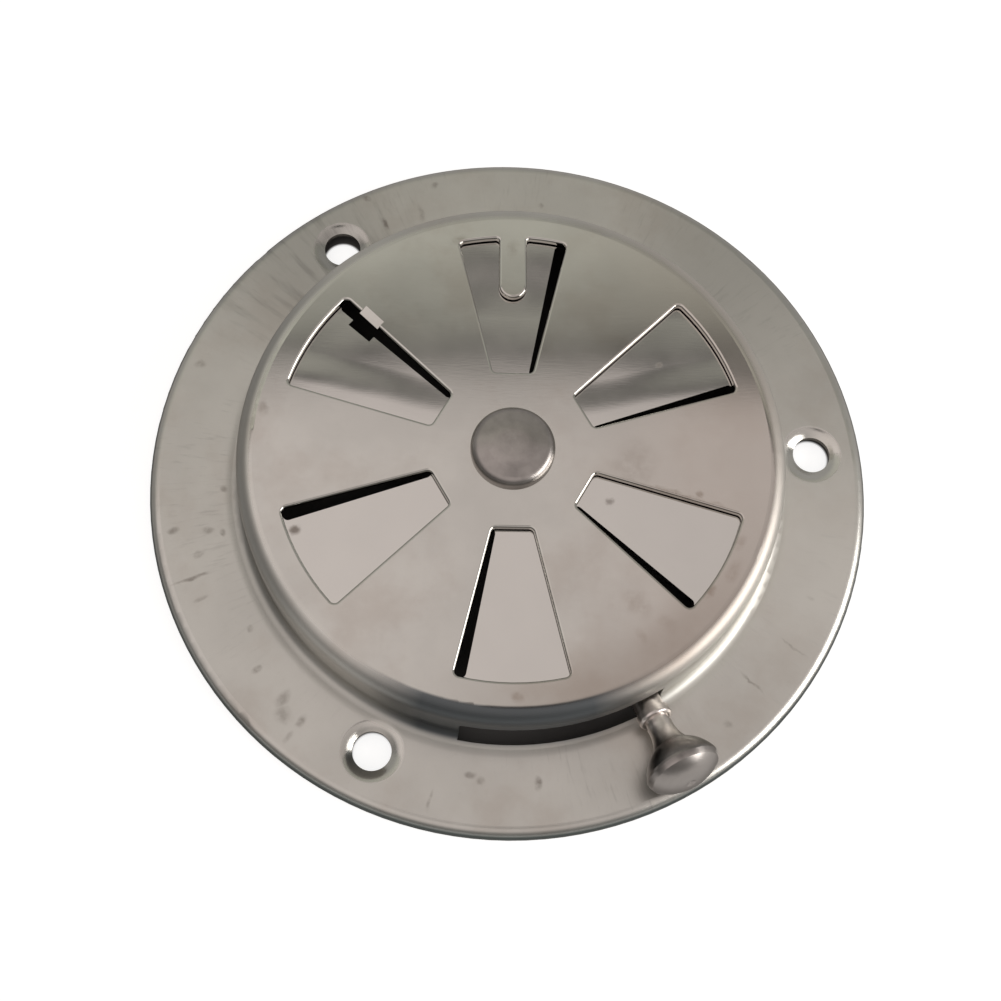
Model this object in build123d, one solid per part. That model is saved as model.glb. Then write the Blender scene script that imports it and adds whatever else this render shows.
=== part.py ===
"""Round sheet-metal vent: pressed body, turning shutter behind the face, lever knob at the side.

Millimetres. The origin is the centre of the mounting plane, where the rim of the flange rests. +Z points
out of the front, and one opening of the face lies along +Y. Angles are counted from +X.
"""
import math
import os

from build123d import *

# Body, pressed from one sheet
sheet = 1.0
wall_radius = 47.0
flange_width = 16.5
flange_radius = wall_radius + flange_width
flange_height = 2.8
rim_round = 2.0
dome_height = 15.6
dome_edge_round = 3.0
wall_foot_round = 2.0

# Openings of the face, and the same ones in the shutter
opening_count = 6
opening_inner = 14.1
opening_margin = 6.7
opening_outer = wall_radius - opening_margin
opening_half_angle = 13.7
opening_corner_round = 0.9
opening_edge_round = 0.45
first_opening_angle = 90.0
opening_step = 360.0 / opening_count

# Tongue left in the first opening
tongue_width = 4.9
tongue_length = 11.8
tongue_end = opening_outer - tongue_length
tongue_root_round = 0.6

# Lug pressed down on the edge of the next opening
lug_margin = 3.6
lug_length = 4.4
lug_outer = opening_outer - lug_margin
lug_inner = lug_outer - lug_length
lug_depth = 0.35
lug_bend_back = 1.3
lug_drop = 0.5

# Dimpled screw holes of the flange
screw_count = 3
screw_offset = 7.35
screw_circle_radius = wall_radius + screw_offset
screw_angle = 5.1
screw_hole_radius = 3.3
dimple_radius = 5.2
dimple_roll = 5.0

# Shutter
shutter_gap = 0.43
shutter_side_gap = 1.5
shutter_radius = wall_radius - sheet - shutter_side_gap
shutter_turn = 5.4
hub_radius = 9.0
hub_slope = 0.8
bearing_gap = 0.05
notch_margin = 0.25
notch_depth = 1.2

# Pivot rivet and the washer over its tail
rivet_head_radius = 7.2
rivet_head_height = 2.2
rivet_head_crown = 0.4
rivet_head_edge = 0.4
rivet_shank_radius = 3.5
rivet_tail_radius = 5.2
rivet_tail_height = 1.4
rivet_tail_round = 0.8
washer_radius = 6.5
washer_thickness = 0.8
running_gap = 0.05

# Lever, set out from the point where its axis crosses the outside of the dome wall
lever_angle = -61.2
lever_lean = -5.0
lever_rise = 17.0
lever_above_flange = 3.5
lever_height = flange_height + lever_above_flange
shank_radius = 2.45
bead_radius = 2.9
bead_start = 2.4
bead_end = 4.0
groove_radius = 2.05
neck_start = 5.0
neck_radius = 2.2
flare_middle_radius = 2.35
flare_radius = 3.2
back_length = 4.0
back_middle_radius = 5.3
knob_radius = 6.3
knob_inset = 0.8
rim_length = 0.4
rim_to_end = 3.2
knob_face_radius = 5.9
knob_face_bulge = 1.9
dimple_mark_radius = 0.9
dimple_mark_depth = 0.35

# Ear of the shutter that carries the lever
ear_offset = 2.2
ear_width = 8.0
ear_below = 4.0
ear_bend_round = 0.6
ear_corner_round = 2.0
pin_radius = 1.6
pin_tail_radius = 2.6
pin_tail_length = 1.0

# Slot in the dome wall, long enough for the lever's travel
lever_travel = opening_step / 2 + shutter_turn
slot_side_gap = 0.7
slot_top_gap = 0.7
slot_foot_radius = wall_radius + 0.6 * wall_foot_round
slot_corner_round = 1.2

# Heights that follow from the sizes above
face_under = dome_height - sheet
shutter_top = face_under - shutter_gap
shutter_under = shutter_top - sheet
hub_top = face_under - bearing_gap
hub_under = hub_top - sheet
washer_top = hub_under - bearing_gap
washer_under = washer_top - washer_thickness
flange_under = flange_height - sheet

# Frame of the lever: horizontal direction and the plane across its axis
rise = math.radians(lever_rise)
knob_end = (flange_width - knob_inset) / math.cos(rise)
rim_start = knob_end - rim_to_end
lever_place = Rot(0, 0, lever_angle) * Pos(wall_radius, 0, 0) * Rot(0, 0, lever_lean)
lever_axis = Pos(0, 0, lever_height) * Rot(0, 90 - lever_rise, 0)


def round_corner(face, x, y, radius):
    """Round the corner of a flat face that is nearest to a point."""
    corner = face.vertices().sort_by_distance((x, y, 0))[0]
    return fillet(corner, radius)


def turned(profile):
    """Solid of revolution about Z from a profile drawn as radius and height."""
    return revolve(Plane.XZ * profile, Axis.Z)


def opening_shape():
    """One sector opening, lying along +X."""
    spread = math.tan(math.radians(opening_half_angle))
    reach = opening_outer * 1.2
    wedge = make_face(
        Polyline(
            (opening_inner, -opening_inner * spread),
            (reach, -reach * spread),
            (reach, reach * spread),
            (opening_inner, opening_inner * spread),
            close=True,
        )
    )
    sector = wedge & Circle(opening_outer)
    return fillet(sector.vertices(), opening_corner_round)


def tongue_shape():
    """Tongue that stays in an opening, joined at the outer end."""
    half = tongue_width / 2
    straight_start = tongue_end + half
    length = opening_outer + sheet - straight_start
    bar = Pos(straight_start + length / 2, 0) * Rectangle(length, tongue_width)
    return bar + Pos(straight_start, 0) * Circle(half)


def first_shape():
    """Opening with the tongue left in it."""
    shape = opening_shape() - tongue_shape()
    half = tongue_width / 2
    root = math.sqrt(opening_outer ** 2 - half ** 2)
    shape = round_corner(shape, root, half, tongue_root_round)
    return round_corner(shape, root, -half, tongue_root_round)


def edge_block(inner, outer, depth, edge_angle):
    """Rectangle over one edge of an opening, standing out from it by a depth, anticlockwise."""
    overlap = sheet
    middle = (inner + outer) / 2
    block = Pos(middle, (depth - overlap) / 2) * Rectangle(outer - inner, depth + overlap)
    return Rot(0, 0, edge_angle) * block


def body_shell():
    """Flange, wall and dome before anything is pierced."""
    inner_wall = wall_radius - sheet
    inner_rim = flange_radius - sheet
    profile = make_face(
        Polyline(
            (0, dome_height),
            (wall_radius, dome_height),
            (wall_radius, flange_height),
            (flange_radius, flange_height),
            (flange_radius, 0),
            (inner_rim, 0),
            (inner_rim, flange_under),
            (inner_wall, flange_under),
            (inner_wall, face_under),
            (0, face_under),
            close=True,
        )
    )
    profile = round_corner(profile, wall_radius, dome_height, dome_edge_round)
    profile = round_corner(profile, inner_wall, face_under, dome_edge_round - sheet)
    profile = round_corner(profile, wall_radius, flange_height, wall_foot_round)
    profile = round_corner(profile, inner_wall, flange_under, wall_foot_round + sheet)
    profile = round_corner(profile, flange_radius, flange_height, rim_round)
    profile = round_corner(profile, inner_rim, flange_under, rim_round - sheet)
    return turned(profile)


def face_cutters():
    """All openings of the face, with the tongue left standing."""
    cutters = []
    for index in range(opening_count):
        shape = first_shape() if index == 0 else opening_shape()
        angle = first_opening_angle + index * opening_step
        cutter = extrude(Pos(0, 0, face_under - sheet) * shape, 3 * sheet)
        cutters.append(Rot(0, 0, angle) * cutter)
    return cutters


def rolled_edges(body):
    """Round the upper edges of the openings, as the punch leaves them."""

    def on_an_opening(edge):
        middle = edge @ 0.5
        reach = math.hypot(middle.X, middle.Y)
        return abs(middle.Z - dome_height) < 0.001 and reach < opening_outer + 0.01

    return fillet(body.edges().filter_by(on_an_opening), opening_edge_round)


def lug_block():
    """The lug's end, which stands out from the edge of its opening."""
    shape = edge_block(lug_inner, lug_outer, lug_depth, -opening_half_angle)
    angle = first_opening_angle + opening_step
    return Rot(0, 0, angle) * extrude(Pos(0, 0, face_under) * shape, sheet)


def lug_slope():
    """Piece that is taken off the lug's top, where it is bent down in a soft curve."""
    reach = lug_depth + sheet
    bend_start = (-lug_bend_back, dome_height)
    bend_middle = ((lug_depth - lug_bend_back) / 2, dome_height - lug_drop / 3)
    lip = (lug_depth, dome_height - lug_drop)
    bend = ThreePointArc(bend_start, bend_middle, lip)
    outside = Polyline(
        lip,
        (reach, dome_height - lug_drop),
        (reach, dome_height + sheet),
        (-lug_bend_back, dome_height + sheet),
        bend_start,
    )
    section = make_face(bend + outside)
    wedge = extrude(Plane.YZ * section, lug_outer - lug_inner)
    angle = first_opening_angle + opening_step - opening_half_angle
    return Rot(0, 0, angle) * Pos(lug_inner, 0, 0) * wedge


def slot_cutter():
    """Arc slot in the foot of the wall; the lever runs from one end to the other."""
    side_room = math.degrees((shank_radius + slot_side_gap) / wall_radius)
    start = lever_angle - lever_travel - side_room
    sweep = lever_travel + 2 * side_room
    top = lever_height + shank_radius / math.cos(rise) + slot_top_gap
    inner = wall_radius - 3 * sheet
    section = Pos((inner + slot_foot_radius) / 2, top / 2) * Rectangle(slot_foot_radius - inner, top)
    cutter = revolve(Plane.XZ * section, Axis.Z, sweep)
    ends = cutter.edges().filter_by(GeomType.LINE).group_by(Axis.Z)[-1]
    cutter = fillet(ends, slot_corner_round)
    return Rot(0, 0, start) * cutter


def screw_places():
    """Places of the screw holes on the flange."""
    places = []
    for index in range(screw_count):
        angle = screw_angle + index * 360.0 / screw_count
        places.append(Rot(0, 0, angle) * Pos(screw_circle_radius, 0, 0))
    return places


def roll_arc(radius):
    """Quarter of a dimple's section, rolled about one centre: its end, middle and start as radius and height."""
    lean = math.asin((dimple_radius - screw_hole_radius) / dimple_roll)
    points = []
    for turn in (lean, lean / 2, 0.0):
        across = dimple_radius - radius * math.sin(turn)
        height = flange_height - dimple_roll + radius * math.cos(turn)
        points.append((across, height))
    return points


def dimple_solid():
    """Sheet rolled down around a screw hole."""
    end, middle, start = roll_arc(dimple_roll - sheet)
    top = flange_under + sheet / 2
    outline = Polyline(start, (start[0], top), (0, top), (0, end[1]), end)
    return turned(make_face(outline + ThreePointArc(end, middle, start)))


def dimple_cutter():
    """Rolled entry and hole of one dimple."""
    end, middle, start = roll_arc(dimple_roll)
    top = flange_height + sheet
    outline = Polyline(start, (start[0], top), (0, top), (0, -sheet), (end[0], -sheet), end)
    return turned(make_face(outline + ThreePointArc(end, middle, start)))


def vent_body():
    body = body_shell()
    for cutter in face_cutters():
        body = body - cutter
    body = rolled_edges(body)
    body = body + lug_block()
    body = body - lug_slope()
    body = body - slot_cutter()
    for place in screw_places():
        body = body + place * dimple_solid()
    for place in screw_places():
        body = body - place * dimple_cutter()
    hole = Cylinder(rivet_shank_radius + running_gap, 4 * sheet)
    return body - Pos(0, 0, dome_height) * hole


def ear_solid():
    """Tab bent down from the disc, square to the lever's axis, in the lever's frame."""
    out = (math.cos(rise), math.sin(rise))
    up = (-math.sin(rise), math.cos(rise))

    def on_face(depth, height):
        along = (height - lever_height + depth * out[1]) / up[1]
        return (along * up[0] - depth * out[0], height)

    def on_end(depth):
        return (-depth * out[0] - ear_below * up[0], lever_height - depth * out[1] - ear_below * up[1])

    front = ear_offset
    back = ear_offset + sheet
    bend_top = on_face(front, shutter_top)
    bend_under = on_face(back, shutter_under)
    root = ear_root()
    section = make_face(
        Polyline(
            (root, shutter_top),
            bend_top,
            on_end(front),
            on_end(back),
            bend_under,
            (root, shutter_under),
            close=True,
        )
    )
    section = round_corner(section, bend_top[0], bend_top[1], ear_bend_round + sheet)
    section = round_corner(section, bend_under[0], bend_under[1], ear_bend_round)
    ear = extrude(Plane.XZ * section, ear_width / 2, both=True)
    corners = ear.edges().filter_by(lambda edge: abs(edge.length - sheet) < 0.001).sort_by(Axis.Z)[:2]
    ear = fillet(corners, ear_corner_round)
    hole = Cylinder(pin_radius + running_gap, 20 * sheet)
    return ear - lever_axis * hole


def ear_root():
    """Where the ear starts on the disc, in the lever's frame."""
    return opening_outer + 0.2 - wall_radius


def shutter_disc():
    shank_hole = rivet_shank_radius + running_gap
    profile = make_face(
        Polyline(
            (shank_hole, hub_top),
            (hub_radius, hub_top),
            (hub_radius + hub_slope, shutter_top),
            (shutter_radius, shutter_top),
            (shutter_radius, shutter_under),
            (hub_radius + hub_slope, shutter_under),
            (hub_radius, hub_under),
            (shank_hole, hub_under),
            close=True,
        )
    )
    disc = turned(profile)
    for index in range(opening_count):
        shape = opening_shape()
        if index == 0:
            inner = lug_inner - notch_margin
            outer = lug_outer + notch_margin
            shape = shape + edge_block(inner, outer, notch_depth, opening_half_angle)
        turn = first_opening_angle + opening_step / 2 + shutter_turn + index * opening_step
        cutter = extrude(Pos(0, 0, shutter_under - sheet) * shape, 3 * sheet)
        disc = disc - Rot(0, 0, turn) * cutter
    room = wall_radius
    start = ear_root() + 0.4
    clear = Pos(start + room / 2, 0, shutter_top) * Box(room, ear_width, 6 * sheet)
    disc = disc - lever_place * clear
    return disc + lever_place * ear_solid()


def pivot_rivet():
    tail_top = washer_under
    tail_under = tail_top - rivet_tail_height
    head_top = dome_height + rivet_head_height
    head_side_top = head_top - rivet_head_crown
    outline = Polyline(
        (0, head_top),
        (0, tail_under),
        (rivet_tail_radius, tail_under),
        (rivet_tail_radius, tail_top),
        (rivet_shank_radius, tail_top),
        (rivet_shank_radius, dome_height),
        (rivet_head_radius, dome_height),
        (rivet_head_radius, head_side_top),
    )
    half = rivet_head_radius / 2
    crown_radius = (rivet_head_radius ** 2 + rivet_head_crown ** 2) / (2 * rivet_head_crown)
    crown_middle = head_top - crown_radius + math.sqrt(crown_radius ** 2 - half ** 2)
    crown = ThreePointArc((rivet_head_radius, head_side_top), (half, crown_middle), (0, head_top))
    profile = make_face(outline + crown)
    head_round = rivet_head_height - rivet_head_crown - rivet_head_edge
    profile = round_corner(profile, rivet_head_radius, head_side_top, head_round)
    profile = round_corner(profile, rivet_tail_radius, tail_under, rivet_tail_round)
    return turned(profile)


def tail_washer():
    ring = Circle(washer_radius) - Circle(rivet_shank_radius + running_gap)
    return extrude(Pos(0, 0, washer_under) * ring, washer_thickness)


def lever_knob():
    ear_front = -ear_offset
    ear_back = ear_front - sheet
    tail_end = ear_back - pin_tail_length
    flare_end = rim_start - back_length
    flare_middle = (neck_start + flare_end) / 2
    back_middle = (flare_end + rim_start) / 2
    face_start = rim_start + rim_length
    face_edge = knob_end - knob_face_bulge
    shank = Polyline(
        (0, tail_end),
        (pin_tail_radius, tail_end),
        (pin_tail_radius, ear_back),
        (pin_radius, ear_back),
        (pin_radius, ear_front),
        (shank_radius, ear_front),
        (shank_radius, bead_start),
        (bead_radius, bead_start),
        (bead_radius, bead_end),
        (groove_radius, bead_end),
        (groove_radius, neck_start),
        (neck_radius, neck_start),
    )
    flare = ThreePointArc(
        (neck_radius, neck_start),
        (flare_middle_radius, flare_middle),
        (flare_radius, flare_end),
    )
    back = ThreePointArc(
        (flare_radius, flare_end),
        (back_middle_radius, back_middle),
        (knob_radius, rim_start),
    )
    rim = Line((knob_radius, rim_start), (knob_radius, face_start))
    shoulder = Line((knob_radius, face_start), (knob_face_radius, face_edge))
    face = ThreePointArc(
        (knob_face_radius, face_edge),
        ((knob_face_radius + dimple_mark_radius) / 2, knob_end - knob_face_bulge / 4),
        (dimple_mark_radius, knob_end),
    )
    mark = Polyline((dimple_mark_radius, knob_end), (0, knob_end - dimple_mark_depth), (0, tail_end))
    profile = make_face(shank + flare + back + rim + shoulder + face + mark)
    profile = round_corner(profile, pin_tail_radius, tail_end, pin_tail_length / 2)
    profile = round_corner(profile, bead_radius, bead_end, (bead_end - bead_start) / 3)
    return lever_place * lever_axis * turned(profile)


def main():
    os.makedirs("parts", exist_ok=True)
    export_step(vent_body(), "parts/vent_body.step")
    export_step(shutter_disc(), "parts/shutter_disc.step")
    export_step(pivot_rivet(), "parts/pivot_rivet.step")
    export_step(tail_washer(), "parts/tail_washer.step")
    export_step(lever_knob(), "parts/lever_knob.step")


main()
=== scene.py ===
import math
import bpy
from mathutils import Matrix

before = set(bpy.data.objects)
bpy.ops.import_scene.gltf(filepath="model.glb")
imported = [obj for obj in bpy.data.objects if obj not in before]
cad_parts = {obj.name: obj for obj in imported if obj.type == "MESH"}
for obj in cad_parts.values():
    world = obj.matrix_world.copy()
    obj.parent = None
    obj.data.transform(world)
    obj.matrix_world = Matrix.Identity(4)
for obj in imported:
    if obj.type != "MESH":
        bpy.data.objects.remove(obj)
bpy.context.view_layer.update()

from types import SimpleNamespace

import bpy
from mathutils import Matrix, Vector

MM = 0.001

# Sizes of the vent that the materials follow, in millimetres
WALL_RADIUS = 47.0
FLANGE_RADIUS = 63.5
FACE_TOP = 15.6
SCREW_CIRCLE = 54.35
SCREW_ANGLES = (5.1, 125.1, 245.1)
SCREW_RADIUS = 3.3

# How far the lit floor under each screw hole lies off the hole's middle along Y, in millimetres
LIGHT_SHIFTS = (0.1, -1.0, 0.1)

# Camera, fitted to the photograph's circles and corners
IMAGE_SIDE = 1001
FOCAL_PIXELS = 1549.34
SENSOR_WIDTH = 36.0
CAMERA_TARGET = Vector((-1.555, -3.867, 0.0)) * MM
CAMERA_DISTANCE = 275.84 * MM
CAMERA_ELEVATION = math.radians(70.384)
CAMERA_AZIMUTH = math.radians(-5.135)
CAMERA_ROLL = math.radians(5.692)


# Small helpers for node trees

class Paint:
    """A node tree being built: each call adds one node and gives back its output."""

    def __init__(self, tree):
        self.tree = tree
        self.tree.nodes.clear()

    def node(self, kind, **settings):
        made = self.tree.nodes.new(kind)
        for name, value in settings.items():
            setattr(made, name, value)
        return made

    def put(self, socket, value):
        if isinstance(value, bpy.types.NodeSocket):
            self.tree.links.new(value, socket)
        else:
            socket.default_value = value

    def math(self, operation, first, second=0.0):
        made = self.node("ShaderNodeMath", operation=operation)
        self.put(made.inputs[0], first)
        self.put(made.inputs[1], second)
        return made.outputs[0]

    def vector(self, operation, first, second=(0.0, 0.0, 0.0)):
        made = self.node("ShaderNodeVectorMath", operation=operation)
        self.put(made.inputs[0], first)
        self.put(made.inputs[1], second)
        if operation in ("LENGTH", "DISTANCE", "DOT_PRODUCT"):
            return made.outputs["Value"]
        return made.outputs[0]

    def stretch(self, vector, scale):
        return self.vector("MULTIPLY", vector, scale)

    def span(self, value, low, high, out_low=0.0, out_high=1.0):
        made = self.node("ShaderNodeMapRange", interpolation_type="SMOOTHSTEP")
        self.put(made.inputs["Value"], value)
        self.put(made.inputs["From Min"], low)
        self.put(made.inputs["From Max"], high)
        self.put(made.inputs["To Min"], out_low)
        self.put(made.inputs["To Max"], out_high)
        return made.outputs["Result"]

    def noise(self, vector, scale, detail=3.0, roughness=0.5):
        made = self.node("ShaderNodeTexNoise")
        self.put(made.inputs["Vector"], vector)
        made.inputs["Scale"].default_value = scale
        made.inputs["Detail"].default_value = detail
        made.inputs["Roughness"].default_value = roughness
        return made.outputs["Fac"]

    def mix(self, factor, first, second):
        made = self.node("ShaderNodeMix", data_type="RGBA")
        self.put(made.inputs["Factor"], factor)
        self.put(made.inputs[6], first)
        self.put(made.inputs[7], second)
        return made.outputs[2]

    def ramp(self, value, stops):
        made = self.node("ShaderNodeValToRGB")
        self.put(made.inputs["Fac"], value)
        elements = made.color_ramp.elements
        while len(elements) < len(stops):
            elements.new(0.5)
        for element, (place, colour) in zip(elements, stops):
            element.position = place
            element.color = colour
        return made.outputs["Color"]

    def place(self):
        """The point on the part, in metres, in the part's own frame."""
        return self.node("ShaderNodeTexCoord").outputs["Object"]

    def parts(self, vector):
        made = self.node("ShaderNodeSeparateXYZ")
        self.put(made.inputs[0], vector)
        return made.outputs

    def join(self, x, y, z):
        made = self.node("ShaderNodeCombineXYZ")
        self.put(made.inputs[0], x)
        self.put(made.inputs[1], y)
        self.put(made.inputs[2], z)
        return made.outputs[0]

    def bump(self, height, distance, below=None):
        made = self.node("ShaderNodeBump")
        made.inputs["Strength"].default_value = 1.0
        made.inputs["Distance"].default_value = distance
        self.put(made.inputs["Height"], height)
        if below is not None:
            self.put(made.inputs["Normal"], below)
        return made.outputs["Normal"]


# Leanings of the greys: red, green and blue shares

PLAIN = (1.0, 0.98, 0.95)
WARM = (1.0, 0.925, 0.90)
GREEN = (1.0, 0.985, 0.89)
STEEL = (1.0, 0.978, 0.912)
BRIGHT_STEEL = (1.0, 0.97, 0.915)
DARK_STEEL = (1.0, 0.925, 0.875)


def tint(level, shares):
    """A grey of a given level with a leaning."""
    return tuple(level * share for share in shares) + (1.0,)


def metal(name):
    """A new metal material: its paint and its shader."""
    made = bpy.data.materials.new(name)
    made.use_nodes = True
    paint = Paint(made.node_tree)
    shader = paint.node("ShaderNodeBsdfPrincipled")
    shader.inputs["Metallic"].default_value = 1.0
    output = paint.node("ShaderNodeOutputMaterial")
    paint.tree.links.new(shader.outputs[0], output.inputs["Surface"])
    return made, paint, shader


def mark(paint, place, spot):
    """A soft blot: its middle in polar form, its half length along the radius, half width and strength."""
    radius, angle, half_length, half_width, strength = spot
    turn = math.radians(angle)
    made = paint.node("ShaderNodeMapping", vector_type="TEXTURE")
    paint.put(made.inputs["Vector"], place)
    middle = (radius * MM * math.cos(turn), radius * MM * math.sin(turn), 0.0)
    made.inputs["Location"].default_value = middle
    made.inputs["Rotation"].default_value = (0.0, 0.0, turn)
    made.inputs["Scale"].default_value = (half_length * MM, half_width * MM, 1.0)
    far = paint.vector("LENGTH", made.outputs[0])
    return paint.span(far, 0.2, 1.0, strength, 0.0)


def marks(paint, place, spots):
    """All the blots of a list, the strongest one at each point."""
    shade = 0.0
    for spot in spots:
        shade = paint.math("MAXIMUM", mark(paint, place, spot), shade)
    return shade


def hole_distance(paint, flat, shifts=(0.0, 0.0, 0.0)):
    """Distance from the nearest screw hole's middle; each middle may be shifted along Y."""
    nearest = 1.0
    for angle, shift in zip(SCREW_ANGLES, shifts):
        turn = math.radians(angle)
        middle = (SCREW_CIRCLE * MM * math.cos(turn), (SCREW_CIRCLE * math.sin(turn) + shift) * MM, 0.0)
        nearest = paint.math("MINIMUM", paint.vector("DISTANCE", flat, middle), nearest)
    return nearest


def past_wall(offset):
    """A radius in metres, from millimetres outside the dome wall."""
    return (WALL_RADIUS + offset) * MM


def sector(paint, angle, middle, half, strength):
    """Shade round one direction from the centre, in degrees, fading to both sides."""
    off = paint.math("SUBTRACT", angle, math.radians(middle))
    return paint.span(paint.math("ABSOLUTE", off), 0.0, math.radians(half), strength, 0.0)


# Stains and scratches of the used sheet, and a dark line along one opening's edge: radius, angle, half
# length, half width, strength

FLANGE_MARKS = (
    (59.6, -169, 1.2, 0.8, 0.55), (53.7, -168, 1.4, 1.0, 0.5), (51.2, -167, 0.9, 0.9, 0.5),
    (55.9, -164, 1.2, 0.9, 0.4), (57.8, -160, 5.0, 0.45, 0.55), (57.8, -156, 1.6, 0.6, 0.35),
    (52.6, -147, 1.0, 0.8, 0.35), (55.6, -140, 1.8, 0.8, 0.75), (55.8, -133, 2.2, 1.4, 0.4),
    (57.6, -131, 2.2, 2.2, 0.35), (56.2, -128, 1.6, 1.0, 0.5), (59.9, -128, 1.4, 0.7, 0.3),
    (53.6, -97, 0.9, 1.3, 0.5), (54.3, -95, 0.9, 1.0, 0.45), (59.3, -103, 2.4, 0.5, 0.4),
    (54.6, -85, 1.6, 0.8, 0.65), (57.6, -32.5, 3.6, 0.4, 0.55), (55.5, -42, 3.6, 0.4, 0.55),
    (56.6, -23, 1.0, 0.7, 0.4), (57.5, -50, 1.2, 0.8, 0.35), (61.5, 116, 1.2, 0.8, 0.7),
    (55.2, 115, 1.7, 0.8, 0.7), (60.0, 104, 0.9, 0.9, 0.5), (54.9, 108, 2.4, 0.8, 0.4),
    (59.6, 160, 1.2, 1.2, 0.4), (50.4, -176, 1.0, 0.9, 0.45), (54.6, 84, 0.9, 0.7, 0.5),
)
FACE_MARKS = (
    (42.8, -89, 1.4, 1.6, 0.4), (32.4, -14, 1.0, 0.9, 0.75), (42.4, -30, 1.6, 3.0, 0.45),
    (41.1, -37, 1.0, 1.4, 0.75), (41.3, -23, 1.2, 2.0, 0.4), (33.9, -53, 3.8, 2.6, 0.35),
    (38.6, -57, 2.0, 1.2, 0.25), (39.6, -50, 2.6, 2.0, 0.25), (40.6, 103, 1.6, 2.4, 0.35),
    (43.0, 171, 1.3, 2.2, 0.30), (38.0, 90, 2.4, 1.2, 0.25), (21.0, -8, 5.0, 6.5, 0.22),
    # The long thin blot at -16 degrees darkens the edge of the opening there
    (28.5, -16, 13.5, 0.9, 0.5), (33.0, -21, 2.4, 1.0, 0.4),
)
SHUTTER_MARKS = (
    (39.1, -158, 1.5, 1.2, 0.75), (18.6, -28, 1.0, 1.0, 0.5), (30.5, 33, 0.8, 0.8, 0.4),
)


# Materials

def body_places(paint):
    """The places on the body that its looks follow."""
    at = SimpleNamespace()
    at.place = paint.place()
    at.x, at.y, at.z = paint.parts(at.place)
    at.flat = paint.join(at.x, at.y, 0.0)
    at.radius = paint.vector("LENGTH", at.flat)
    at.angle = paint.math("ARCTAN2", at.y, at.x)
    at.on_flange = paint.span(at.radius, past_wall(1.0), past_wall(3.0))
    at.on_face = paint.span(at.z, (FACE_TOP - 2.0) * MM, (FACE_TOP - 0.3) * MM)
    at.hole_far = hole_distance(paint, at.flat)
    at.cloud = paint.noise(at.place, 70.0, 4.0, 0.55)
    around = paint.math("MULTIPLY", at.angle, 26.0)
    outward = paint.math("MULTIPLY", at.radius, 60.0)
    at.polar = paint.join(around, outward, 0.0)
    return at


def body_stains(paint, at):
    """Stains of the flange and of the face, with uneven outlines."""
    wander = paint.noise(at.place, 330.0, 3.0)
    shift = paint.math("MULTIPLY", paint.math("SUBTRACT", wander, 0.5), 2.0 * MM)
    ragged = paint.vector("ADD", at.flat, paint.join(shift, shift, 0.0))
    broken = paint.span(paint.noise(at.place, 620.0, 3.0, 0.6), 0.25, 0.70, 0.25, 1.0)
    flange_stain = paint.math("MULTIPLY", marks(paint, ragged, FLANGE_MARKS), at.on_flange)
    flange_stain = paint.math("MULTIPLY", flange_stain, broken)
    face_stain = paint.math("MULTIPLY", marks(paint, ragged, FACE_MARKS), at.on_face)
    face_stain = paint.math("MULTIPLY", face_stain, broken)
    return flange_stain, face_stain


def body_steel(paint, at):
    """Mottled steel with radial draw marks on the flange, gathered in patches."""
    drawn = paint.noise(at.polar, 3.0, 4.0, 0.6)
    patch = paint.noise(at.place, 45.0, 2.0)
    draw_lines = paint.math("MULTIPLY", paint.span(drawn, 0.52, 0.75), paint.span(patch, 0.42, 0.62))
    draw_marks = paint.math("MULTIPLY", draw_lines, at.on_flange)
    fine = paint.noise(at.place, 1400.0, 3.0, 0.6)
    tone = paint.mix(paint.span(at.cloud, 0.3, 0.7), tint(0.52, STEEL), tint(0.57, STEEL))
    tone = paint.mix(paint.math("MULTIPLY", draw_marks, 0.35), tone, tint(0.30, STEEL))
    tone = paint.mix(paint.math("MULTIPLY", paint.span(fine, 0.62, 0.8), 0.12), tone, tint(0.3, STEEL))
    mottle = paint.span(paint.noise(at.place, 58.0, 5.0, 0.62), 0.46, 0.72, 0.0, 0.42)
    return paint.mix(mottle, tone, (0.43, 0.385, 0.34, 1.0))


def flange_shade_and_streaks(paint, at, tone):
    """Painted shade on two sectors of the flange, streaks in the left one, and a painted highlight on a
    sector at the right.
    """
    # Painted shade on the flange's upper left and upper right sectors
    shade_left = paint.math("MULTIPLY", sector(paint, at.angle, 131.0, 30.0, 0.34), at.on_flange)
    shade_right = paint.math("MULTIPLY", sector(paint, at.angle, 47.0, 28.0, 0.24), at.on_flange)
    clouded = paint.span(at.cloud, 0.2, 0.6, 0.7, 1.0)
    sector_shade = paint.math("MULTIPLY", paint.math("ADD", shade_left, shade_right), clouded)
    tone = paint.mix(sector_shade, tone, tint(0.16, STEEL))
    coarse = paint.join(paint.math("MULTIPLY", at.angle, 32.0), paint.math("MULTIPLY", at.radius, 70.0), 0.0)
    streaks = paint.math("MULTIPLY", shade_left, paint.span(paint.noise(coarse, 1.0, 3.0, 0.55), 0.48, 0.72))
    tone = paint.mix(streaks, tone, tint(0.12, STEEL))
    # Painted highlight on the flange's right sector, where the window light falls
    painted_highlight = paint.math("MULTIPLY", sector(paint, at.angle, -14.0, 34.0, 0.55), at.on_flange)
    return paint.mix(painted_highlight, tone, tint(0.74, STEEL))


def face_tarnish(paint, at, tone):
    """The right side of the face is rosy and its lower edge is browned."""
    rosy = paint.math("MULTIPLY", paint.span(at.x, 2.0 * MM, 38.0 * MM, 0.0, 0.5), at.on_face)
    tone = paint.mix(rosy, tone, (0.54, 0.475, 0.425, 1.0))
    browned = paint.math("MULTIPLY", sector(paint, at.angle, -62.0, 54.0, 0.55), at.on_face)
    browned = paint.math("MULTIPLY", browned, paint.span(at.radius, 34.0 * MM, 43.0 * MM))
    browned = paint.math("MULTIPLY", browned, paint.span(at.cloud, 0.3, 0.6, 0.6, 1.0))
    return paint.mix(browned, tone, (0.26, 0.20, 0.16, 1.0))


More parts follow.
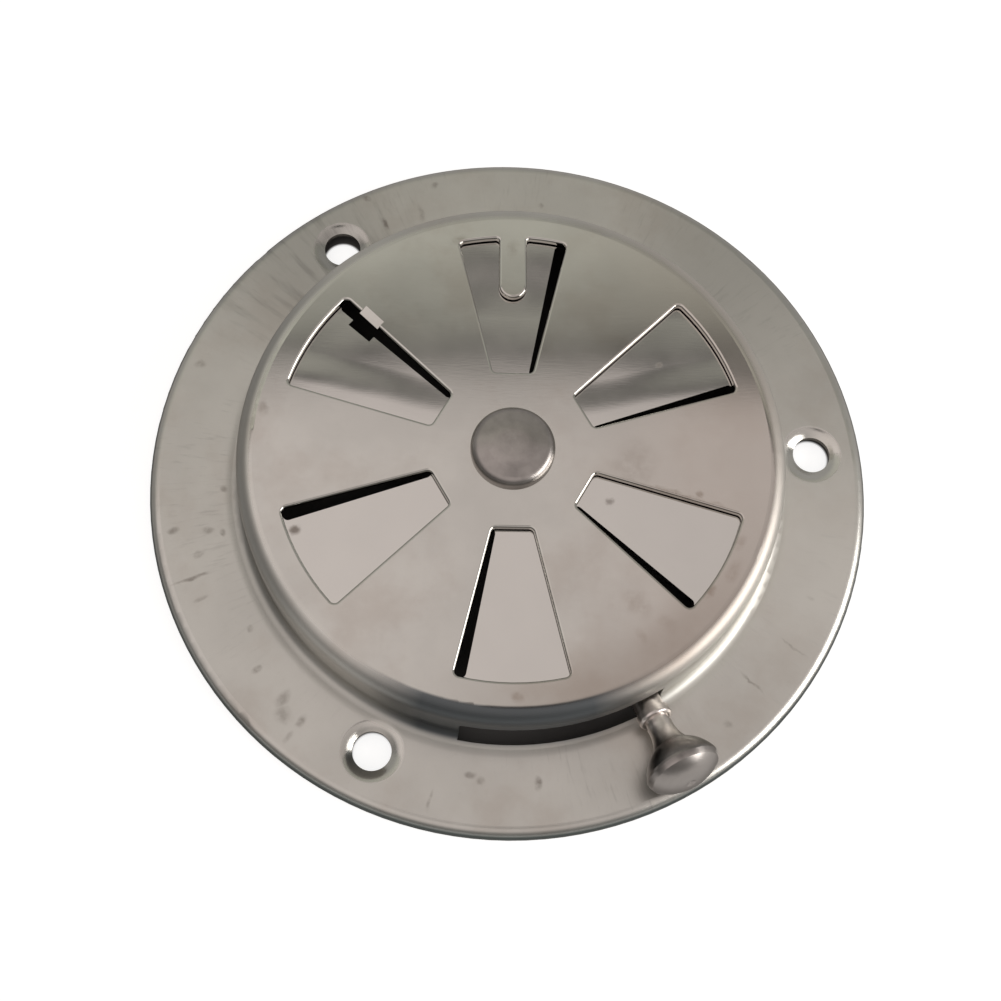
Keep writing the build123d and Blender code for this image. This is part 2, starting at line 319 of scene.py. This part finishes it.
def wall_painted_shade(paint, at, tone):
    """Painted shade on the wall above the slot and on the wall's left side, and on the foot of the rim."""
    before_foot = paint.span(at.radius, past_wall(2.0), past_wall(0.6))
    rounded = paint.math("MULTIPLY", paint.span(at.radius, past_wall(-2.9), past_wall(-2.3)), before_foot)
    # Painted shade on the wall and its top round above the slot
    front = paint.math("MINIMUM", sector(paint, at.angle, -91.0, 38.0, 1.8), 1.0)
    tone = paint.mix(paint.math("MULTIPLY", front, rounded), tone, (0.115, 0.125, 0.13, 1.0))
    on_wall = paint.math("MULTIPLY", paint.span(at.radius, past_wall(-2.3), past_wall(-1.5)), before_foot)
    # Painted shade on the left side of the wall
    beside = paint.math("MULTIPLY", on_wall, paint.span(at.x, -30.0 * MM, -43.0 * MM, 0.0, 0.45))
    tone = paint.mix(beside, tone, (0.16, 0.16, 0.15, 1.0))
    # Painted shade, dark teal, on the lower part of the flange's outer rim
    on_rim = paint.span(at.radius, (FLANGE_RADIUS - 1.3) * MM, (FLANGE_RADIUS - 0.3) * MM, 0.0, 0.8)
    foot = paint.math("MULTIPLY", on_rim, paint.span(at.z, 2.6 * MM, 1.5 * MM))
    return paint.mix(foot, tone, (0.10, 0.15, 0.16, 1.0))


def body_roughness(paint, at, stain):
    """The face is the smoothest, and the wall with its rounds the roughest."""
    rough = paint.math("ADD", paint.math("MULTIPLY", at.on_flange, 0.22), 0.07)
    rough = paint.math("ADD", rough, paint.math("MULTIPLY", at.cloud, 0.04))
    rough = paint.math("ADD", rough, paint.math("MULTIPLY", stain, 0.18))
    edge_side = paint.span(at.radius, past_wall(-2.8), past_wall(-1.8))
    foot_side = paint.span(at.radius, past_wall(3.5), past_wall(1.8))
    wall_and_rounds = paint.math("MULTIPLY", edge_side, foot_side)
    rough = paint.math("ADD", rough, paint.math("MULTIPLY", wall_and_rounds, 0.38))
    dimpled = paint.span(at.hole_far, 5.6 * MM, 4.8 * MM)
    return paint.math("SUBTRACT", rough, paint.math("MULTIPLY", dimpled, 0.14))


def body_relief(paint, at):
    """Waves of the sheet, rolling grain of the face, draw grain of the flange, funnels of the dimples."""
    waves = paint.bump(paint.noise(at.place, 38.0, 1.0), 0.10 * MM)
    grain = paint.noise(paint.stretch(at.place, (500.0, 3600.0, 1500.0)), 1.0, 2.0)
    grained = paint.bump(paint.math("MULTIPLY", grain, at.on_face), 0.0008 * MM, waves)
    draw_grain = paint.noise(at.polar, 14.0, 3.0, 0.6)
    clear_of_foot = paint.span(at.radius, past_wall(3.0), past_wall(6.0))
    drawn = paint.bump(paint.math("MULTIPLY", draw_grain, clear_of_foot), 0.012 * MM, grained)
    funnel = paint.span(at.hole_far, 2.6 * MM, 5.6 * MM)
    return paint.bump(funnel, 0.65 * MM, drawn)


def body_material():
    """Pressed stainless sheet: satin flange with radial draw marks, brighter face, stains of use, and
    painted shade and highlight on the flange, the wall and the rim.
    """
    made, paint, shader = metal("vent_body_steel")
    at = body_places(paint)
    flange_stain, face_stain = body_stains(paint, at)
    tone = body_steel(paint, at)
    tone = paint.mix(flange_stain, tone, (0.15, 0.12, 0.10, 1.0))
    tone = paint.mix(face_stain, tone, (0.20, 0.14, 0.10, 1.0))
    tone = flange_shade_and_streaks(paint, at, tone)
    tone = face_tarnish(paint, at, tone)
    tone = wall_painted_shade(paint, at, tone)
    paint.put(shader.inputs["Base Color"], tone)
    stain = paint.math("MAXIMUM", flange_stain, face_stain)
    paint.put(shader.inputs["Roughness"], body_roughness(paint, at, stain))
    paint.put(shader.inputs["Normal"], body_relief(paint, at))
    return made


def shutter_material():
    """Bright cold rolled sheet, a little wavy and dished."""
    made, paint, shader = metal("shutter_steel")
    place = paint.place()
    x, y, z = paint.parts(place)
    wander = paint.noise(place, 900.0, 3.0)
    shift = paint.math("MULTIPLY", paint.math("SUBTRACT", wander, 0.5), 1.4 * MM)
    ragged = paint.join(paint.math("ADD", x, shift), paint.math("ADD", y, shift), 0.0)
    stain = marks(paint, ragged, SHUTTER_MARKS)
    cloud = paint.noise(place, 110.0, 3.0)
    tone = paint.mix(cloud, tint(0.57, BRIGHT_STEEL), tint(0.62, BRIGHT_STEEL))
    paint.put(shader.inputs["Base Color"], paint.mix(stain, tone, (0.14, 0.11, 0.09, 1.0)))
    rough = paint.math("ADD", paint.math("MULTIPLY", cloud, 0.05), 0.06)
    paint.put(shader.inputs["Roughness"], paint.math("ADD", rough, paint.math("MULTIPLY", stain, 0.2)))
    wave = paint.bump(paint.noise(place, 60.0, 1.0), 0.07 * MM)
    across = paint.math("SUBTRACT", y, paint.math("MULTIPLY", paint.math("ABSOLUTE", x), 0.24))
    near_side = paint.span(across, 3.5 * MM, 10.0 * MM, 0.055, 0.0)
    far_side = paint.span(y, 25.0 * MM, 47.0 * MM, 0.0, 0.42)
    dished = paint.bump(paint.math("ADD", near_side, far_side), 1.0 * MM, wave)
    grain = paint.noise(paint.stretch(place, (600.0, 4000.0, 1500.0)), 1.0, 2.0)
    paint.put(shader.inputs["Normal"], paint.bump(grain, 0.0008 * MM, dished))
    return made


def rivet_material():
    """Darker turned steel with rings round the rivet's axis."""
    made, paint, shader = metal("rivet_steel")
    place = paint.place()
    x, y, z = paint.parts(place)
    radius = paint.vector("LENGTH", paint.join(x, y, 0.0))
    cloud = paint.noise(place, 260.0, 4.0, 0.6)
    rings = paint.noise(paint.join(paint.math("MULTIPLY", radius, 2600.0), 0.0, 0.0), 1.0, 2.0)
    tone = paint.mix(paint.span(cloud, 0.3, 0.7), tint(0.31, DARK_STEEL), tint(0.41, DARK_STEEL))
    ringed = paint.mix(paint.math("MULTIPLY", rings, 0.3), tone, tint(0.25, DARK_STEEL))
    paint.put(shader.inputs["Base Color"], ringed)
    paint.put(shader.inputs["Roughness"], paint.math("ADD", paint.math("MULTIPLY", cloud, 0.12), 0.26))
    swirl = paint.bump(rings, 0.012 * MM)
    dents = paint.bump(paint.noise(place, 420.0, 2.0), 0.03 * MM, swirl)
    worn_edge = paint.span(radius, 2.5 * MM, 7.4 * MM, 1.0, 0.0)
    paint.put(shader.inputs["Normal"], paint.bump(worn_edge, 0.75 * MM, dents))
    return made


def washer_material():
    """Plain dull washer steel."""
    made, paint, shader = metal("washer_steel")
    place = paint.place()
    cloud = paint.noise(place, 300.0, 4.0, 0.6)
    paint.put(shader.inputs["Base Color"], paint.mix(cloud, tint(0.38, STEEL), tint(0.52, STEEL)))
    paint.put(shader.inputs["Roughness"], paint.math("ADD", paint.math("MULTIPLY", cloud, 0.15), 0.28))
    paint.put(shader.inputs["Normal"], paint.bump(paint.noise(place, 1600.0, 3.0), 0.01 * MM))
    return made


# The lever's axis, and where its parts begin along it, in millimetres from the dome wall
LEVER_ANGLE = math.radians(-61.2)
LEVER_DIRECTION = math.radians(-66.2)
LEVER_RISE = math.radians(17.0)
LEVER_HEIGHT = 6.3
LEVER_START = (WALL_RADIUS * MM * math.cos(LEVER_ANGLE),
               WALL_RADIUS * MM * math.sin(LEVER_ANGLE),
               LEVER_HEIGHT * MM)
NECK_END = 7.0
HEAD_START = 9.5
HEAD_END = 13.8
KNOB_FACE_START = 14.6


def knob_material():
    """Darker turned steel with rings round the lever's own axis, painted light on the neck and painted shade
    on the head.
    """
    made, paint, shader = metal("knob_steel")
    place = paint.place()
    along = (math.cos(LEVER_DIRECTION) * math.cos(LEVER_RISE),
             math.sin(LEVER_DIRECTION) * math.cos(LEVER_RISE),
             math.sin(LEVER_RISE))
    reach = paint.vector("DOT_PRODUCT", place, along)
    rings = paint.noise(paint.join(paint.math("MULTIPLY", reach, 2200.0), 0.0, 0.0), 1.0, 2.0)
    cloud = paint.noise(place, 260.0, 4.0, 0.6)
    # Painted light along the lever: a lighter neck as highlight, a darker head as shade, a mid tone on the
    # end face
    neck_painted_highlight = paint.mix(paint.span(cloud, 0.3, 0.7), tint(0.62, DARK_STEEL), tint(0.74, DARK_STEEL))
    head_painted_shade = paint.mix(paint.span(cloud, 0.3, 0.7), tint(0.20, DARK_STEEL), tint(0.30, DARK_STEEL))
    start = sum(place_on_axis * share for place_on_axis, share in zip(LEVER_START, along))
    on_head = paint.span(reach, start + NECK_END * MM, start + HEAD_START * MM)
    on_knob_face = paint.span(reach, start + HEAD_END * MM, start + KNOB_FACE_START * MM)
    tone = paint.mix(on_head, neck_painted_highlight, head_painted_shade)
    tone = paint.mix(on_knob_face, tone, tint(0.37, DARK_STEEL))
    dark = paint.math("MULTIPLY", rings, 0.25)
    paint.put(shader.inputs["Base Color"], paint.mix(dark, tone, tint(0.16, STEEL)))
    paint.put(shader.inputs["Roughness"], paint.math("ADD", paint.math("MULTIPLY", cloud, 0.12), 0.24))
    swirl = paint.bump(rings, 0.012 * MM)
    dents = paint.noise(place, 500.0, 2.0)
    paint.put(shader.inputs["Normal"], paint.bump(dents, 0.02 * MM, swirl))
    return made


def dress(node, material):
    """Gives a carried-over CAD node its material."""
    for place in node.material_slots:
        place.material = material


dress(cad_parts["vent_body"], body_material())
dress(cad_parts["shutter_disc"], shutter_material())
dress(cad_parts["pivot_rivet"], rivet_material())
dress(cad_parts["tail_washer"], washer_material())
dress(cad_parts["lever_knob"], knob_material())


# Floor

def floor_material():
    """Pale floor, white to the camera and dim to reflections. Under the part it is darker and without glow,
    a painted shadow, with painted pools of light under the screw holes. In reflections it is darker near the
    part, a painted shadow, and brighter at the front, painted light.
    """
    made = bpy.data.materials.new("pale_floor")
    made.use_nodes = True
    paint = Paint(made.node_tree)
    diffuse = paint.node("ShaderNodeBsdfDiffuse")
    light_path = paint.node("ShaderNodeLightPath")
    x, y, z = paint.parts(paint.place())
    flat = paint.join(x, y, 0.0)
    radius = paint.vector("LENGTH", flat)
    # Painted shadow under the part, with painted pools of light under the screw holes
    outside = paint.span(radius, (FLANGE_RADIUS - 2.0) * MM, (FLANGE_RADIUS - 1.0) * MM)
    hole_far = hole_distance(paint, flat, LIGHT_SHIFTS)
    through = paint.span(hole_far, (SCREW_RADIUS + 0.4) * MM, (SCREW_RADIUS - 0.2) * MM)
    unshaded_floor = paint.math("MAXIMUM", outside, through)
    paint.put(diffuse.inputs["Color"], paint.mix(unshaded_floor, tint(0.09, PLAIN), tint(0.36, PLAIN)))
    glow = paint.node("ShaderNodeEmission")
    glow.inputs["Color"].default_value = (1.0, 1.0, 1.0, 1.0)
    # Painted shadow round the part in reflections, and painted light at its front
    away = paint.span(radius, (FLANGE_RADIUS + 2.0) * MM, (FLANGE_RADIUS + 14.0) * MM)
    away = paint.math("MULTIPLY", away, paint.span(y, -45.0 * MM, -75.0 * MM, 1.0, 1.8))
    to_camera = paint.math("MULTIPLY", light_path.outputs["Is Camera Ray"], 0.82)
    to_mirror = paint.math("MULTIPLY", light_path.outputs["Is Glossy Ray"], 0.26)
    shown = paint.math("MULTIPLY", to_camera, unshaded_floor)
    mirrored = paint.math("MULTIPLY", to_mirror, away)
    paint.put(glow.inputs["Strength"], paint.math("ADD", shown, mirrored))
    both = paint.node("ShaderNodeAddShader")
    paint.tree.links.new(diffuse.outputs[0], both.inputs[0])
    paint.tree.links.new(glow.outputs[0], both.inputs[1])
    output = paint.node("ShaderNodeOutputMaterial")
    paint.tree.links.new(both.outputs[0], output.inputs["Surface"])
    return made


def floor():
    """A wide plain floor just under the part."""
    half = 3.0
    mesh = bpy.data.meshes.new("floor")
    corners = [(-half, -half, 0.0), (half, -half, 0.0), (half, half, 0.0), (-half, half, 0.0)]
    mesh.from_pydata(corners, [], [(0, 1, 2, 3)])
    made = bpy.data.objects.new("floor", mesh)
    made.location = (0.0, 0.0, -0.05 * MM)
    bpy.context.collection.objects.link(made)
    made.data.materials.append(floor_material())


floor()


# Light

def studio_world():
    """A soft studio: light overhead, with a dark band behind the part that its face mirrors."""
    world = bpy.data.worlds.new("studio")
    bpy.context.scene.world = world
    world.use_nodes = True
    paint = Paint(world.node_tree)
    direction = paint.node("ShaderNodeTexCoord").outputs["Generated"]
    x, y, z = paint.parts(direction)
    lean = paint.math("DIVIDE", y, paint.math("MAXIMUM", z, 0.02))
    stops = (
        (0.00, tint(0.92, WARM)),
        (0.25, tint(0.96, WARM)),
        (0.41, tint(0.96, WARM)),
        (0.440, tint(0.88, WARM)),
        (0.449, tint(0.50, WARM)),
        (0.456, tint(0.11, PLAIN)),
        (0.473, tint(0.07, PLAIN)),
        (0.478, tint(0.42, GREEN)),
        (0.52, tint(0.59, GREEN)),
        (0.57, tint(0.82, GREEN)),
        (0.65, tint(0.62, GREEN)),
    )
    sky = paint.ramp(lean, stops)
    # The left side is a little brighter, and the low parts of the room are dim, most of all at the front
    side = paint.math("DIVIDE", x, paint.math("MAXIMUM", z, 0.02))
    shade = paint.span(side, -0.6, 0.8, 0.0, 0.35)
    sky = paint.mix(shade, sky, tint(0.0, PLAIN))
    # A dark patch at the front, round the camera
    off = paint.join(paint.math("SUBTRACT", side, 0.06), paint.math("ADD", lean, 0.19), 0.0)
    patch = paint.span(paint.vector("LENGTH", off), 0.20, 0.09, 0.0, 0.85)
    sky = paint.mix(patch, sky, tint(0.04, PLAIN))
    low = paint.span(z, 0.75, 0.35)
    low_tone = paint.mix(paint.span(y, 0.05, 0.45), tint(0.20, PLAIN), tint(0.43, PLAIN))
    sky = paint.mix(low, sky, low_tone)
    background = paint.node("ShaderNodeBackground")
    paint.put(background.inputs["Color"], sky)
    background.inputs["Strength"].default_value = 1.0
    output = paint.node("ShaderNodeOutputWorld")
    paint.tree.links.new(background.outputs[0], output.inputs["Surface"])


def soft_lamp(name, azimuth, elevation, distance, wide, high, power, colour):
    """A soft box aimed at the middle of the part."""
    lamp = bpy.data.lights.new(name, "AREA")
    lamp.shape = "RECTANGLE"
    lamp.size = wide
    lamp.size_y = high
    lamp.energy = power
    lamp.color = colour
    made = bpy.data.objects.new(name, lamp)
    bpy.context.collection.objects.link(made)
    turn = math.radians(azimuth)
    lift = math.radians(elevation)
    away = Vector((math.cos(turn) * math.cos(lift), math.sin(turn) * math.cos(lift), math.sin(lift)))
    made.location = away * distance
    made.rotation_euler = away.to_track_quat("Z", "Y").to_euler()


studio_world()
soft_lamp("window_light", azimuth=-18.0, elevation=22.0, distance=0.55, wide=0.45, high=0.28, power=2.1,
          colour=(1.0, 0.98, 0.96))


# Camera

def photo_camera():
    """A camera at the photograph's place, angle and frame."""
    camera = bpy.data.cameras.new("photo_camera")
    camera.sensor_fit = "HORIZONTAL"
    camera.sensor_width = SENSOR_WIDTH
    camera.lens = FOCAL_PIXELS / IMAGE_SIDE * SENSOR_WIDTH
    camera.clip_start = 0.01
    camera.clip_end = 20.0
    made = bpy.data.objects.new("photo_camera", camera)
    bpy.context.collection.objects.link(made)
    flat = math.cos(CAMERA_ELEVATION)
    back = Vector((math.sin(CAMERA_AZIMUTH) * flat,
                   -math.cos(CAMERA_AZIMUTH) * flat,
                   math.sin(CAMERA_ELEVATION)))
    level = Vector((math.cos(CAMERA_AZIMUTH), math.sin(CAMERA_AZIMUTH), 0.0))
    upward = back.cross(level)
    right = level * math.cos(CAMERA_ROLL) + upward * math.sin(CAMERA_ROLL)
    up = upward * math.cos(CAMERA_ROLL) - level * math.sin(CAMERA_ROLL)
    spot = CAMERA_TARGET + back * CAMERA_DISTANCE
    rows = [(right[i], up[i], back[i], spot[i]) for i in range(3)]
    made.matrix_world = Matrix(rows + [(0.0, 0.0, 0.0, 1.0)])
    bpy.context.scene.camera = made


photo_camera()
bpy.context.scene.view_settings.view_transform = "Standard"
